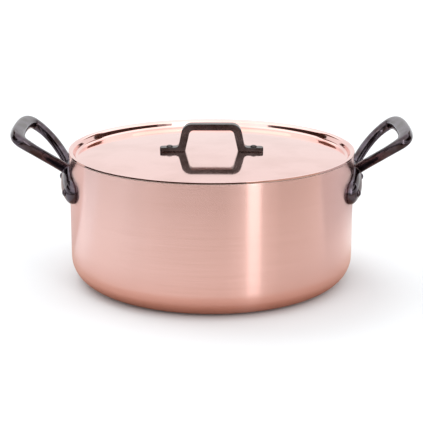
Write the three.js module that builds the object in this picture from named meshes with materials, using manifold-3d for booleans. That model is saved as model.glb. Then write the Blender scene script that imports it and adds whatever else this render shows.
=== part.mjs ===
// A low two-handled copper stewpan with a fitted lid: sheet shells, castings and rivets.
// Sizes are in millimetres and +Z is up. The origin is the centre of the flat bottom.
// The side handles point along +X and -X, and the lid handle runs along X.

import * as THREE from 'three';
import { mergeVertices } from 'three/addons/utils/BufferGeometryUtils.js';
import Module from 'manifold-3d';

const wasm = await Module();
wasm.setup();

// Pot: a copper sheet with a thin stainless lining bonded to it
const potInnerRadius = 140;
const potHeight = 130;
const potCornerRadius = 25;
const potCopperThickness = 1.8;
const potLiningThickness = 0.2;
const bondLine = 0.05;

// Lid: the same two sheets, with a flange on the rim, a step into the pot and a domed disc
const lidCopperThickness = 1.8;
const lidLiningThickness = 0.2;
const lidSeatGap = 0.3;
const lidOverhang = 0.4;
const lidPlugClearance = 0.6;
const lidStepDepth = 7;
const lidStepSlope = degrees(72);
const lidShoulderRadius = 3.4;
const lidValleyRadius = 3;
const lidDomeEdgeSlope = degrees(3.5);

// Side handle: the loop's centreline leaves the wall as a bent ribbon and opens out to a wide grip
const loopStandOff = 5;
const loopRootRise = 17.5;
const loopRootTilt = degrees(49.6);
const loopTipTilt = degrees(30.6);
const loopReach = 57;
const loopRootHalfWidth = 15;
const loopHalfWidth = 45;
const loopWidestAt = 46.5;
const neckLength = 14;
const neckHalfWidth = 7;
const legHalfWidth = 3.6;
const legHalfDepth = 4.5;
const gripHalfWidth = 7;
const gripHalfDepth = 5.6;
const gripSwellStart = 30;
const gripSquareness = 2.6;
const sectionSquareness = 3;

// Side handle: the base that lies along the wall, hung from the rim, with a round lobe at each end
const baseDrop = 32;
const lobeSpacing = 89;
const lobeDrop = 0.5;
const lobeRadius = 11.8;
const lobeThickness = 7;
const hubHalfHeight = 14.5;
const hubThickness = 8.8;
const baseCrown = 0.7;
const handleSeatGap = 0.3;

// Rivets of the side handles
const handleRivetShankRadius = 2.5;
const handleRivetHeadRadius = 6.5;
const handleRivetHeadHeight = 2.4;
const handleRivetTailRadius = 3.4;
const handleRivetTailHeight = 2.4;
const centreRivetRise = 4.9;

// Lid handle: a bridge with an ear at each end
const lidRivetSpacing = 84;
const earOverhang = 9.7;
const earThickness = 4;
const bridgeFootWidth = 66.3;
const bridgeTopWidth = 56.8;
const bridgeClearHeight = 21.2;
const bridgeBarThickness = 6.4;
const bridgeLegThickness = 6.8;
const bridgeDepth = 10.6;
const bridgeOuterCorner = 8.3;
const bridgeInnerCorner = 4.5;
const earFillet = 4;
const earTipRound = 1.6;
const earPlanRound = 3;
const bridgeEdgeRound = 1.3;
const lidHandleSeatGap = 0.3;

// Rivets of the lid handle
const lidRivetShankRadius = 2.4;
const lidRivetHeadRadius = 5;
const lidRivetHeadHeight = 1.8;
const lidRivetTailRadius = 3.3;
const lidRivetTailHeight = 1.5;

// Fits that all the rivets share
const rivetHoleClearance = 0.2;
const rivetSeatGap = 0.3;
const spotFaceDepth = 0.5;
const spotFaceClearance = 0.5;

// How finely round forms are divided
const wallSegments = 48;
const cornerSteps = 5;
const bendSteps = 3;
const domeSteps = 3;
const rivetSegments = 12;
const rivetDomeSteps = 3;
const holeSegments = 16;
const neckSteps = 5;
const legSteps = 8;
const gripSteps = 14;
const loopSides = 12;
const baseSpanSteps = 12;
const baseEndSteps = 4;
const baseCrownSteps = 10;
const outlineArcSteps = 3;

// Sizes that follow from the ones above
const potSheet = potCopperThickness + bondLine + potLiningThickness;
const potOuterRadius = potInnerRadius + potSheet;
const lidSheet = lidCopperThickness + bondLine + lidLiningThickness;
const lidRadius = potOuterRadius + lidOverhang;
const lidTop = potHeight + lidSeatGap + lidSheet;
const hubHeight = potHeight - baseDrop;
const lobeHeight = hubHeight - lobeDrop;
const loopRootHeight = hubHeight + loopRootRise;
const handleRivets = [
  { along: -lobeSpacing / 2, height: lobeHeight },
  { along: 0, height: hubHeight + centreRivetRise },
  { along: lobeSpacing / 2, height: lobeHeight },
];

// Finishes
const polishedCopper = { color: 0xdfa993, roughness: 0.25, metalness: 1 };
const stainlessSteel = { color: 0xc8c6c2, roughness: 0.35, metalness: 1 };
const castIron = { color: 0x4b4543, roughness: 0.4, metalness: 0.8 };
const rivetSteel = { color: 0x6d6763, roughness: 0.4, metalness: 0.9 };

function degrees(angle) {
  return THREE.MathUtils.degToRad(angle);
}

// Solids: closed geometries joined and cut

function solidOf(geometry) {
  const bare = geometry.clone();
  bare.deleteAttribute('normal');
  bare.deleteAttribute('uv');
  const merged = mergeVertices(bare);
  const corners = merged.index.array;
  const triangles = [];
  for (let i = 0; i < corners.length; i += 3) {
    const [a, b, c] = corners.slice(i, i + 3);
    if (a !== b && b !== c && c !== a) {
      triangles.push(a, b, c);
    }
  }
  return new wasm.Manifold(new wasm.Mesh({
    numProp: 3,
    vertProperties: merged.attributes.position.array,
    triVerts: new Uint32Array(triangles),
  }));
}

function geometryOf(solid) {
  const mesh = solid.getMesh();
  const geometry = new THREE.BufferGeometry();
  geometry.setAttribute('position', new THREE.BufferAttribute(mesh.vertProperties, 3));
  geometry.setIndex(new THREE.BufferAttribute(mesh.triVerts, 1));
  geometry.computeVertexNormals();
  return geometry;
}

function revolve(profile, segments) {
  return new THREE.LatheGeometry(profile, segments).rotateX(Math.PI / 2);
}

function cylinder(radius, from, to, segments) {
  const profile = [
    new THREE.Vector2(0, from),
    new THREE.Vector2(radius, from),
    new THREE.Vector2(radius, to),
    new THREE.Vector2(0, to),
  ];
  return revolve(profile, segments);
}

// A loft skins a row of rings that all have the same number of points.
function loft(rings) {
  const sides = rings[0].length;
  const positions = rings.flat().flatMap((point) => point.toArray());
  const faces = [];
  for (let ring = 0; ring + 1 < rings.length; ring += 1) {
    for (let side = 0; side < sides; side += 1) {
      const next = (side + 1) % sides;
      const near = ring * sides;
      const far = near + sides;
      faces.push(near + side, near + next, far + next);
      faces.push(near + side, far + next, far + side);
    }
  }
  const last = (rings.length - 1) * sides;
  for (let side = 1; side + 1 < sides; side += 1) {
    faces.push(0, side + 1, side);
    faces.push(last, last + side, last + side + 1);
  }
  const geometry = new THREE.BufferGeometry();
  geometry.setAttribute('position', new THREE.Float32BufferAttribute(positions, 3));
  geometry.setIndex(faces);
  return geometry;
}

function range(steps) {
  return Array.from({ length: steps + 1 }, (_, step) => step / steps);
}

// A sine or cosine drawn out so that an ellipse turns into a rounded rectangle; 2 leaves it as it is
function squared(value, squareness) {
  return Math.sign(value) * Math.abs(value) ** (2 / squareness);
}

// Sheet profiles: points on a sheet's face in (radius, height), each with the way out of the sheet

function faceArc(centre, radius, fromAngle, toAngle, steps, bulge) {
  return range(steps).map((share) => {
    const angle = THREE.MathUtils.lerp(fromAngle, toAngle, share);
    const out = new THREE.Vector2(Math.cos(angle), Math.sin(angle));
    return {
      point: out.clone().multiplyScalar(radius).add(centre),
      out: out.multiplyScalar(bulge),
    };
  });
}

function facePoint(radius, height, outRadius, outHeight) {
  return {
    point: new THREE.Vector2(radius, height),
    out: new THREE.Vector2(outRadius, outHeight),
  };
}

function atDepth(profile, depth) {
  return profile.map(({ point, out }) => point.clone().addScaledVector(out, -depth));
}

// The layer of a sheet between two depths under its face, listed with its outer or lower side first
function sheetLayer(profile, firstDepth, secondDepth) {
  const first = atDepth(profile, firstDepth);
  const second = atDepth(profile, secondDepth);
  return revolve([...first, ...second.reverse()], wallSegments);
}

function potProfile() {
  const corner = new THREE.Vector2(potOuterRadius - potCornerRadius, potCornerRadius);
  return [
    facePoint(0, 0, 0, -1),
    ...faceArc(corner, potCornerRadius, -Math.PI / 2, 0, cornerSteps, 1),
    facePoint(potOuterRadius, potHeight, 1, 0),
  ];
}

// The lid's top face, from the middle of the dome out to the flange
function lidProfile() {
  const slope = lidStepSlope;
  const edgeSlope = lidDomeEdgeSlope;
  const shoulder = new THREE.Vector2(
    potInnerRadius - lidPlugClearance + (lidShoulderRadius - lidSheet) * Math.sin(slope),
    lidTop - lidShoulderRadius,
  );
  const stepTop = new THREE.Vector2(-Math.sin(slope), Math.cos(slope))
    .multiplyScalar(lidShoulderRadius)
    .add(shoulder);
  const discEdgeHeight = lidTop - lidStepDepth;
  const valleyHeight = discEdgeHeight + lidValleyRadius * Math.cos(edgeSlope);
  const stepFoot = valleyHeight - lidValleyRadius * Math.cos(slope);
  const stepRun = (stepTop.y - stepFoot) / Math.tan(slope);
  const valley = new THREE.Vector2(
    stepTop.x - stepRun - lidValleyRadius * Math.sin(slope),
    valleyHeight,
  );
  const discRadius = valley.x - lidValleyRadius * Math.sin(edgeSlope);
  const domeRadius = discRadius / Math.sin(edgeSlope);
  const dome = new THREE.Vector2(0, discEdgeHeight - domeRadius * Math.cos(edgeSlope));
  const up = Math.PI / 2;
  const domeFace = faceArc(dome, domeRadius, up, up - edgeSlope, domeSteps, 1);
  domeFace[0].point.x = 0;
  return [
    ...domeFace.slice(0, -1),
    ...faceArc(valley, lidValleyRadius, -up - edgeSlope, -up + slope, bendSteps, -1),
    ...faceArc(shoulder, lidShoulderRadius, up + slope, up, bendSteps, 1),
    facePoint(lidRadius, lidTop, 0, 1),
  ];
}

// Height of the lid's top face at a distance from the middle of the dome
function domeHeightAt(distance) {
  const [middle, next] = lidProfile();
  const domeRadius = (next.point.x ** 2 + (middle.point.y - next.point.y) ** 2)
    / (2 * (middle.point.y - next.point.y));
  return middle.point.y - domeRadius + Math.sqrt(domeRadius ** 2 - distance ** 2);
}

// Rivets, made along +Z: a domed head, and a shank that ends in a smaller domed tail

function rivetHead(radius, height, seat) {
  const dome = range(rivetDomeSteps).map((share) => {
    const angle = share * Math.PI / 2;
    return new THREE.Vector2(radius * Math.sin(angle), seat - height * Math.cos(angle));
  });
  return revolve([...dome, new THREE.Vector2(0, seat)], rivetSegments);
}

function rivetShank(radius, start, tailRadius, tailHeight, tailSeat) {
  const tail = range(rivetDomeSteps).map((share) => {
    const angle = share * Math.PI / 2;
    return new THREE.Vector2(tailRadius * Math.cos(angle), tailSeat + tailHeight * Math.sin(angle));
  });
  tail[rivetDomeSteps].x = 0;
  const profile = [
    new THREE.Vector2(0, start),
    new THREE.Vector2(radius, start),
    new THREE.Vector2(radius, tailSeat),
    ...tail,
  ];
  return revolve(profile, rivetSegments);
}

// Side handle base, in (distance along the wall, height, distance off the wall)

function baseSpan(along) {
  const halfSpacing = lobeSpacing / 2;
  const share = Math.min(Math.abs(along) / halfSpacing, 1);
  const swell = 0.5 + 0.5 * Math.cos(share * Math.PI);
  const past = Math.max(Math.abs(along) - halfSpacing, 0);
  const rounding = Math.sqrt(Math.max(1 - (past / lobeRadius) ** 2, 0));
  return {
    middle: THREE.MathUtils.lerp(lobeHeight, hubHeight, swell),
    halfHeight: THREE.MathUtils.lerp(lobeRadius, hubHalfHeight, swell) * rounding,
    thickness: THREE.MathUtils.lerp(lobeThickness, hubThickness, swell) * rounding ** baseCrown,
  };
}

function baseThicknessAt(along, height) {
  const span = baseSpan(along);
  const share = (height - span.middle) / span.halfHeight;
  return span.thickness * Math.sqrt(1 - share ** 2) ** baseCrown;
}

function onWall(along, height, off) {
  const angle = along / potOuterRadius;
  const radius = potOuterRadius + off;
  return new THREE.Vector3(radius * Math.cos(angle), radius * Math.sin(angle), height);
}

function baseStations() {
  const halfSpacing = lobeSpacing / 2;
  const span = range(baseSpanSteps).map((share) => lobeSpacing * share - halfSpacing);
  const end = range(baseEndSteps)
    .slice(1)
    .map((share) => halfSpacing + lobeRadius * Math.sin(share * Math.PI / 2));
  const start = end.map((along) => -along).reverse();
  return [...start, ...span, ...end];
}

function handleBase() {
  const rings = baseStations().map((along) => {
    const { middle, halfHeight, thickness } = baseSpan(along);
    return range(baseCrownSteps).map((share) => {
      const angle = (0.5 - share) * Math.PI;
      const height = middle + halfHeight * Math.sin(angle);
      const crown = Math.abs(Math.cos(angle)) ** baseCrown;
      return onWall(along, height, thickness * crown);
    });
  });
  return solidOf(loft(rings));
}

// Side handle loop: a ribbon that bends as it leaves the wall, with the legs at a half-width from its middle

function ribbonTilt(reach) {
  if (reach < 0) {
    return THREE.MathUtils.lerp(loopRootTilt, Math.PI / 2, -reach / neckLength);
  }
  return THREE.MathUtils.lerp(loopRootTilt, loopTipTilt, reach / loopReach);
}

function ribbonPoint(reach) {
  const endTilt = reach < 0 ? Math.PI / 2 : loopTipTilt;
  const length = reach < 0 ? -neckLength : loopReach;
  const bend = length / (endTilt - loopRootTilt);
  const tilt = ribbonTilt(reach);
  return new THREE.Vector2(
    potOuterRadius + loopStandOff + bend * (Math.sin(tilt) - Math.sin(loopRootTilt)),
    loopRootHeight - bend * (Math.cos(tilt) - Math.cos(loopRootTilt)),
  );
}

function legSpread(reach) {
  if (reach < 0) {
    const share = 1 + reach / neckLength;
    return neckHalfWidth + (loopRootHalfWidth - neckHalfWidth) * share ** 2;
  }
  const opening = Math.sin((reach / loopWidestAt) * (Math.PI / 2));
  return loopRootHalfWidth + (loopHalfWidth - loopRootHalfWidth) * opening;
}

// Stations of the loop from one root round the grip to the other, as reach and sideways place
function loopStations() {
  const neck = range(neckSteps)
    .slice(0, -1)
    .map((share) => -neckLength * (1 - share));
  const leg = range(legSteps)
    .slice(0, -1)
    .map((share) => loopWidestAt * share);
  const rising = [...neck, ...leg].map((reach) => ({ reach, side: -legSpread(reach) }));
  const grip = range(gripSteps).map((share) => ({
    reach: loopWidestAt + (loopReach - loopWidestAt) * squared(Math.sin(share * Math.PI), gripSquareness),
    side: -loopHalfWidth * squared(Math.cos(share * Math.PI), gripSquareness),
  }));
  const falling = rising.map(({ reach, side }) => ({ reach, side: -side })).reverse();
  return [...rising, ...grip, ...falling];
}

function loopPoint({ reach, side }) {
  const middle = ribbonPoint(reach);
  return new THREE.Vector3(middle.x, side, middle.y);
}

function handleLoop() {
  const stations = loopStations();
  const points = stations.map(loopPoint);
  const rings = stations.map(({ reach }, index) => {
    const before = points[Math.max(index - 1, 0)];
    const after = points[Math.min(index + 1, points.length - 1)];
    const forward = after.clone().sub(before).normalize();
    const tilt = ribbonTilt(reach);
    const ribbonNormal = new THREE.Vector3(-Math.sin(tilt), 0, Math.cos(tilt));
    const across = ribbonNormal.clone().cross(forward).normalize();
    const upward = forward.clone().cross(across);
    const swell = THREE.MathUtils.smoothstep(reach, gripSwellStart, loopReach);
    const halfWidth = THREE.MathUtils.lerp(legHalfWidth, gripHalfWidth, swell);
    const halfDepth = THREE.MathUtils.lerp(legHalfDepth, gripHalfDepth, swell);
    return range(loopSides).slice(0, -1).map((share) => {
      const angle = share * 2 * Math.PI;
      return points[index].clone()
        .addScaledVector(across, halfWidth * squared(Math.cos(angle), sectionSquareness))
        .addScaledVector(upward, halfDepth * squared(Math.sin(angle), sectionSquareness));
    });
  });
  return solidOf(loft(rings));
}

// Turn what was made along +Z to a rivet's place on the wall, on the handle at the given turn
function turnToRivet(geometry, { along, height }, turn = 0) {
  return geometry
    .rotateY(Math.PI / 2)
    .rotateZ(turn + along / potOuterRadius)
    .translate(0, 0, height);
}

function rivetSeatRadius({ along, height }) {
  return potOuterRadius + baseThicknessAt(along, height) - spotFaceDepth;
}

function handleHole(rivet, turn = 0) {
  const radius = handleRivetShankRadius + rivetHoleClearance;
  const hole = cylinder(radius, potInnerRadius / 2, 2 * potOuterRadius, holeSegments);
  return solidOf(turnToRivet(hole, rivet, turn));
}

function spotFace(rivet) {
  const radius = handleRivetTailRadius + spotFaceClearance;
  const clearing = cylinder(radius, rivetSeatRadius(rivet), 2 * potOuterRadius, holeSegments);
  return solidOf(turnToRivet(clearing, rivet));
}

function handleGeometry() {
  const wall = solidOf(cylinder(potOuterRadius + handleSeatGap, 0, 2 * potHeight, wallSegments));
  let casting = handleBase().add(handleLoop()).subtract(wall);
  for (const rivet of handleRivets) {
    casting = casting.subtract(handleHole(rivet)).subtract(spotFace(rivet));
  }
  return geometryOf(casting);
}

// The head is cut to the curve of the lining that it bears on.
function handleRivetGeometry(rivet) {
  const headSeat = potInnerRadius - rivetSeatGap;
  const head = rivetHead(handleRivetHeadRadius, handleRivetHeadHeight, headSeat);
  const shank = rivetShank(
    handleRivetShankRadius,
    headSeat - handleRivetHeadHeight / 2,
    handleRivetTailRadius,
    handleRivetTailHeight,
    rivetSeatRadius(rivet) + rivetSeatGap,
  );
  const bore = solidOf(cylinder(headSeat, 0, 2 * potHeight, wallSegments));
  const curvedHead = solidOf(turnToRivet(head, rivet)).intersect(bore);
  return geometryOf(curvedHead.add(solidOf(turnToRivet(shank, rivet))));
}

// Lid handle: a side outline extruded across the lid, with the ears rounded in plan

// An outline through corners that are each rounded by their own radius
function roundedShape(corners) {
  const points = [];
  corners.forEach(({ at, round }, index) => {
    const toBefore = corners.at(index - 1).at.clone().sub(at).normalize();
    const toAfter = corners[(index + 1) % corners.length].at.clone().sub(at).normalize();
    const halfAngle = Math.acos(toBefore.dot(toAfter)) / 2;
    const towards = toBefore.clone().add(toAfter).normalize();
    const centre = at.clone().addScaledVector(towards, round / Math.sin(halfAngle));
    const reach = round / Math.tan(halfAngle);
    const start = at.clone().addScaledVector(toBefore, reach).sub(centre).angle();
    const finish = at.clone().addScaledVector(toAfter, reach).sub(centre).angle();
    let sweep = finish - start;
    sweep -= 2 * Math.PI * Math.round(sweep / (2 * Math.PI));
    const steps = round > 0 ? outlineArcSteps : 0;
    for (let step = 0; step <= steps; step += 1) {
      const angle = steps > 0 ? start + (sweep * step) / steps : 0;
      points.push(new THREE.Vector2(Math.cos(angle), Math.sin(angle)).multiplyScalar(round).add(centre));
    }
  });
  return new THREE.Shape(points);
}

function bridgeCorners() {
  const endX = lidRivetSpacing / 2 + earOverhang;
  const footX = bridgeFootWidth / 2;
  const topX = bridgeTopWidth / 2;
  const footUnder = domeHeightAt(footX) + lidHandleSeatGap;
  const endUnder = domeHeightAt(endX) + lidHandleSeatGap;
  const barUnder = domeHeightAt(0) + bridgeClearHeight;
  const barTop = barUnder + bridgeBarThickness;
  const half = [
    { at: new THREE.Vector2(topX - bridgeLegThickness, barUnder), round: bridgeInnerCorner },
    { at: new THREE.Vector2(footX - bridgeLegThickness, footUnder), round: 0 },
    { at: new THREE.Vector2(footX, footUnder), round: 0 },
    { at: new THREE.Vector2(endX, endUnder), round: 0 },
    { at: new THREE.Vector2(endX, endUnder + earThickness), round: earTipRound },
    { at: new THREE.Vector2(footX, footUnder + earThickness), round: earFillet },
    { at: new THREE.Vector2(topX, barTop), round: bridgeOuterCorner },
  ];
  const mirrored = half.map(({ at, round }) => ({ at: new THREE.Vector2(-at.x, at.y), round }));
  return [...half, ...mirrored.reverse()];
}

function lidHandleGeometry() {
  const depth = bridgeDepth - 2 * bridgeEdgeRound;
  const sideView = new THREE.ExtrudeGeometry(roundedShape(bridgeCorners()), {
    depth,
    bevelEnabled: true,
    bevelThickness: bridgeEdgeRound,
    bevelSize: bridgeEdgeRound,
    bevelOffset: -bridgeEdgeRound,
    bevelSegments: 2,
  });
  sideView.translate(0, 0, -depth / 2).rotateX(Math.PI / 2);
  const endX = lidRivetSpacing / 2 + earOverhang;
  const halfDepth = bridgeDepth / 2;
  const planView = roundedShape([
    { at: new THREE.Vector2(endX, -halfDepth), round: earPlanRound },
    { at: new THREE.Vector2(endX, halfDepth), round: earPlanRound },
    { at: new THREE.Vector2(-endX, halfDepth), round: earPlanRound },
    { at: new THREE.Vector2(-endX, -halfDepth), round: earPlanRound },
  ]);
  const plan = new THREE.ExtrudeGeometry(planView, { depth: 2 * potHeight, bevelEnabled: false });
  let casting = solidOf(sideView).intersect(solidOf(plan));
  for (const side of [-1, 1]) {
    casting = casting.subtract(lidHole(side));
  }
  return geometryOf(casting);
}

function lidHole(side) {
  const hole = cylinder(lidRivetShankRadius + rivetHoleClearance, potHeight / 2, 2 * potHeight, holeSegments);
  return solidOf(hole.translate(side * lidRivetSpacing / 2, 0, 0));
}

function lidRivetGeometry(side) {
  const place = lidRivetSpacing / 2;
  const headSeat = domeHeightAt(place + lidRivetHeadRadius) - lidSheet - rivetSeatGap;
  const earTop = domeHeightAt(place) + lidHandleSeatGap + earThickness;
  const head = rivetHead(lidRivetHeadRadius, lidRivetHeadHeight, headSeat);
  const shank = rivetShank(
    lidRivetShankRadius,
    headSeat - lidRivetHeadHeight / 2,
    lidRivetTailRadius,
    lidRivetTailHeight,
    earTop + rivetSeatGap,
  );
  return geometryOf(solidOf(head).add(solidOf(shank))).translate(side * place, 0, 0);
}

// Drilled sheets

function drilledPotLayer(firstDepth, secondDepth) {
  let layer = solidOf(sheetLayer(potProfile(), firstDepth, secondDepth));
  for (const turn of [0, Math.PI]) {
    for (const rivet of handleRivets) {
      layer = layer.subtract(handleHole(rivet, turn));
    }
  }
  return geometryOf(layer);
}

function drilledLidLayer(firstDepth, secondDepth) {
  let layer = solidOf(sheetLayer(lidProfile(), firstDepth, secondDepth));
  for (const side of [-1, 1]) {
    layer = layer.subtract(lidHole(side));
  }
  return geometryOf(layer);
}

// Assembly

function piece(name, geometry, finish) {
  const mesh = new THREE.Mesh(geometry, new THREE.MeshStandardMaterial(finish));
  mesh.name = name;
  return mesh;
}

// The three rivets run from the front to the rear on the right and the other way round on the left.
function handleGroup(name, turn, rivetPlaces) {
  const group = new THREE.Group();
  group.add(piece(name, handleGeometry(), castIron));
  handleRivets.forEach((rivet, index) => {
    const rivetName = `${name}_rivet_${rivetPlaces[index]}`;
    group.add(piece(rivetName, handleRivetGeometry(rivet), rivetSteel));
  });
  group.rotation.z = turn;
  return group;
}

function potGroup() {
  const group = new THREE.Group();
  const liningDepth = potCopperThickness + bondLine;
  group.add(piece('pot_shell', drilledPotLayer(0, potCopperThickness), polishedCopper));
  group.add(piece('pot_lining', drilledPotLayer(liningDepth, potSheet), stainlessSteel));
  group.add(handleGroup('right_handle', 0, ['front', 'centre', 'rear']));
  group.add(handleGroup('left_handle', Math.PI, ['rear', 'centre', 'front']));
  return group;
}

function lidGroup() {
  const group = new THREE.Group();
  const liningDepth = lidCopperThickness + bondLine;
  group.add(piece('lid_shell', drilledLidLayer(lidCopperThickness, 0), polishedCopper));
  group.add(piece('lid_lining', drilledLidLayer(lidSheet, liningDepth), stainlessSteel));
  group.add(piece('lid_handle', lidHandleGeometry(), castIron));
  group.add(piece('lid_rivet_left', lidRivetGeometry(-1), rivetSteel));
  group.add(piece('lid_rivet_right', lidRivetGeometry(1), rivetSteel));
  return group;
}

const stewpan = new THREE.Group();
stewpan.add(potGroup(), lidGroup());

export default stewpan;
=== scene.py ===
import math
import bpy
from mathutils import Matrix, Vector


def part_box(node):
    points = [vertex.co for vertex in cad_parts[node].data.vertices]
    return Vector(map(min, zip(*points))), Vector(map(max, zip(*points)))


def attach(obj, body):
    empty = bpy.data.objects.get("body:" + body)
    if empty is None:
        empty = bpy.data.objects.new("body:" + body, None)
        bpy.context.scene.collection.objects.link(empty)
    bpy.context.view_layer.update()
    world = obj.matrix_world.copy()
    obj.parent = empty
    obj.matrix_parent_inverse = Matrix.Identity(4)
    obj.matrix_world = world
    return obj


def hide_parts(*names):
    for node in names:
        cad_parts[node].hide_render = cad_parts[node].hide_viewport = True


bl_info = {
    "name": "Copper stewpan",
    "version": (1, 0, 0),
    "blender": (4, 5, 0),
    "location": "3D View > Sidebar > Stewpan",
    "description": "Builds a copper stewpan with its lid, cast handles and rivets, and a studio for it",
    "category": "Object",
}

import bpy
from bpy.props import FloatProperty, FloatVectorProperty, IntProperty, PointerProperty
from mathutils import Matrix, Vector

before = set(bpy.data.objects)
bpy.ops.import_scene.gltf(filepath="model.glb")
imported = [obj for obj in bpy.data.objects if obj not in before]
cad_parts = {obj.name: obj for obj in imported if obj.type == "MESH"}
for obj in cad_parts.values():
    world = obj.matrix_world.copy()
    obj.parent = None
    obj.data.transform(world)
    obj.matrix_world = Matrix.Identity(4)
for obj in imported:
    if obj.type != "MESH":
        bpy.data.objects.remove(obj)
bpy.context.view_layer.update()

MM = 0.001
POT = "pot"
LID = "lid"
SIDES = {"right_handle": 0.0, "left_handle": math.pi}
RIVET_PLACES = {"right_handle": ("front", "centre", "rear"), "left_handle": ("rear", "centre", "front")}
SHEET_SEGMENTS = 288
RIVET_SEGMENTS = 48
HOLE_SEGMENTS = 32
EDGE_STEPS = 5
CORNER_STEPS = 10
SHARP_ANGLE = math.radians(40)


def linear(hex_colour):
    """Turn an sRGB hex colour into linear red, green and blue."""
    channels = [int(hex_colour[place:place + 2], 16) / 255 for place in (0, 2, 4)]
    return [c / 12.92 if c <= 0.04045 else ((c + 0.055) / 1.055) ** 2.4 for c in channels]


def length(name, description, default):
    return FloatProperty(
        name=name, description=description, default=default, min=0.0, unit="LENGTH", precision=5
    )


def angle(name, description, default):
    return FloatProperty(name=name, description=description, default=math.radians(default), subtype="ANGLE")


def ratio(name, description, default):
    return FloatProperty(name=name, description=description, default=default)


def count(name, description, default):
    return IntProperty(name=name, description=description, default=default, min=0)


def colour(name, description, hex_colour):
    return FloatVectorProperty(
        name=name, description=description, default=linear(hex_colour), subtype="COLOR", min=0.0, max=1.0
    )


# Sizes and colours that a user would change


class PotSizes(bpy.types.PropertyGroup):
    outer_radius: length("Outer radius", "Radius of the wall's outside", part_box("pot_shell")[1].x)
    height: length("Height", "Height of the rim above the table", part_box("pot_shell")[1].z)
    corner_radius: length("Corner radius", "Outside radius between the bottom and the wall", 25 * MM)
    copper: length("Copper", "Thickness of the copper sheet", 1.8 * MM)
    lining: length("Lining", "Thickness of the stainless sheet", 0.2 * MM)
    bond: length("Bond line", "Line between the two sheets", 0.05 * MM)
    rim_round: length("Rim round", "Rounding of the copper's edge at the rim", 0.3 * MM)


class LidSizes(bpy.types.PropertyGroup):
    radius: length("Radius", "Radius of the flange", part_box("lid_shell")[1].x)
    top: length("Top", "Height of the flange's top above the table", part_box("lid_shell")[1].z)
    plug_radius: length("Plug radius", "Radius of the step's underside at the flange", 139.4 * MM)
    copper: length("Copper", "Thickness of the copper sheet", 1.8 * MM)
    lining: length("Lining", "Thickness of the stainless sheet", 0.2 * MM)
    bond: length("Bond line", "Line between the two sheets", 0.05 * MM)
    step_depth: length("Step depth", "Drop from the flange to the edge of the disc", 7 * MM)
    step_slope: angle("Step slope", "Slope of the step", 72)
    shoulder_radius: length("Shoulder radius", "Bend from the flange into the step", 3.4 * MM)
    valley_radius: length("Valley radius", "Bend from the step into the disc", 3 * MM)
    dome_edge_slope: angle("Dome edge slope", "Slope of the domed disc at its edge", 3.5)
    edge_round: length("Edge round", "Rounding of the copper's edge at the flange", 0.15 * MM)


class HandleSizes(bpy.types.PropertyGroup):
    stand_off: length("Stand-off", "Distance from the wall to the loop's root", 5 * MM)
    base_drop: length("Base drop", "Middle of the base below the rim", 32 * MM)
    root_rise: length("Root rise", "Loop's root above the middle of the base", 17.5 * MM)
    root_tilt: angle("Root tilt", "Slope of the loop at its root", 49.6)
    tip_tilt: angle("Tip tilt", "Slope of the loop at its grip", 30.6)
    reach: length("Reach", "Length of the loop from root to grip", 57 * MM)
    root_half_width: length("Root half width", "Half the distance between the legs at the root", 15 * MM)
    half_width: length("Half width", "Half the distance between the legs at the widest place", 45 * MM)
    widest_at: length("Widest at", "Distance from the root to the widest place", 46.5 * MM)
    neck_length: length("Neck length", "Length that runs down into the base", 14 * MM)
    neck_half_width: length("Neck half width", "Half the distance between the legs in the base", 7 * MM)
    leg_half_width: length("Leg half width", "Half the leg's thickness across the loop", 4.1 * MM)
    leg_half_depth: length("Leg half depth", "Half the leg's thickness through the loop", 5 * MM)
    grip_half_width: length("Grip half width", "Half the grip's thickness across the loop", 7 * MM)
    grip_half_depth: length("Grip half depth", "Half the grip's thickness through the loop", 5.5 * MM)
    grip_start: length("Grip start", "Distance from the root at which the leg swells to the grip", 30 * MM)
    section_power: ratio("Section power", "2 is an ellipse, more is a rounded rectangle", 3.0)
    grip_power: ratio("Grip power", "How square the loop's end is, 2 is a half ellipse", 2.6)
    lobe_spacing: length("Lobe spacing", "Distance along the wall between the end lobes", 89 * MM)
    lobe_drop: length("Lobe drop", "Lobes' middle below the middle of the base", 0.5 * MM)
    lobe_radius: length("Lobe radius", "Radius of a lobe", 11.8 * MM)
    lobe_thickness: length("Lobe thickness", "Thickness of a lobe off the wall", 8.5 * MM)
    hub_half_height: length("Hub half height", "Half the height of the base in the middle", 14.5 * MM)
    shoulder_height: length("Shoulder height", "Top of the base above its middle, under the loop", 21 * MM)
    hub_thickness: length("Hub thickness", "Thickness of the base in the middle", 8.8 * MM)
    crown: ratio("Crown", "How square the base's section is, lower is squarer", 0.85)
    seat_gap: length("Seat gap", "Gap between the base and the wall", 0.3 * MM)
    grain: length("Casting grain", "Size of the cells that the casting is blended with", 0.6 * MM)
    blending: count("Blending", "Passes that round the casting's inner corners", 5)


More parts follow.
